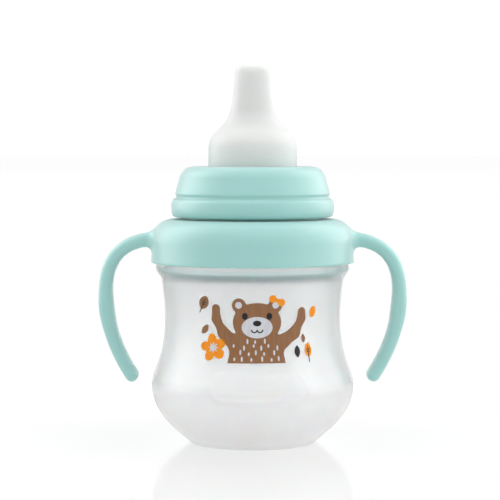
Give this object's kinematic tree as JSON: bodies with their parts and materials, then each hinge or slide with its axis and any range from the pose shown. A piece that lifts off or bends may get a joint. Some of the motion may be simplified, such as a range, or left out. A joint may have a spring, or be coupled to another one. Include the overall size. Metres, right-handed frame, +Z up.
{
  "type": "sippy cup",
  "caption": "Toddler's training cup: waisted translucent beaker, collar with side handles, screw ring, soft spout and no-spill valve.",
  "frame": {"origin": "centre of the base, on the surface that the cup stands on", "axes": "+Z up along the cup's axis, X through the two handles, Y from front to back"},
  "size_m": [0.1076, 0.071, 0.1317],
  "materials": {
    "translucent_plastic": "milky translucent, smooth",
    "mint_plastic": "fine satin",
    "white_silicone": "soft matt, slightly translucent",
    "white_plastic": "satin",
    "printed_ink": "flat printed film"
  },
  "bodies": {
    "cup": {"cup_body": "translucent_plastic"},
    "collar": {"handle_collar": "mint_plastic"},
    "lid": {"spout": "white_silicone"},
    "ring": {"screw_ring": "mint_plastic"},
    "valve": {"valve_holder": "white_plastic"},
    "valve_flap": {"valve_disc": "white_silicone"}
  },
  "joints": [
    {"name": "handle_turn", "type": "hinge", "parent": "cup", "child": "collar", "pos_m": [0, 0, 0.07], "axis": [0, 0, 1], "continuous": true},
    {"name": "lid_rise", "type": "slide", "parent": "cup", "child": "lid", "axis": [0, 0, 1], "range_m": [0, 0.008]},
    {"name": "ring_turn", "type": "hinge", "parent": "lid", "child": "ring", "pos_m": [0, 0, 0.088], "axis": [0, 0, 1], "range_deg": [0, 360]},
    {"name": "valve_pull", "type": "slide", "parent": "lid", "child": "valve", "axis": [0, 0, -1], "range_m": [0, 0.01]},
    {"name": "valve_lift", "type": "slide", "parent": "valve", "child": "valve_flap", "axis": [0, 0, 1], "range_m": [0, 0.0006], "stiffness_N_per_m": 30}
  ],
  "couplings": [
    {"joint": "lid_rise", "follows": "ring_turn", "m_per_rad": 0.001273}
  ]
}
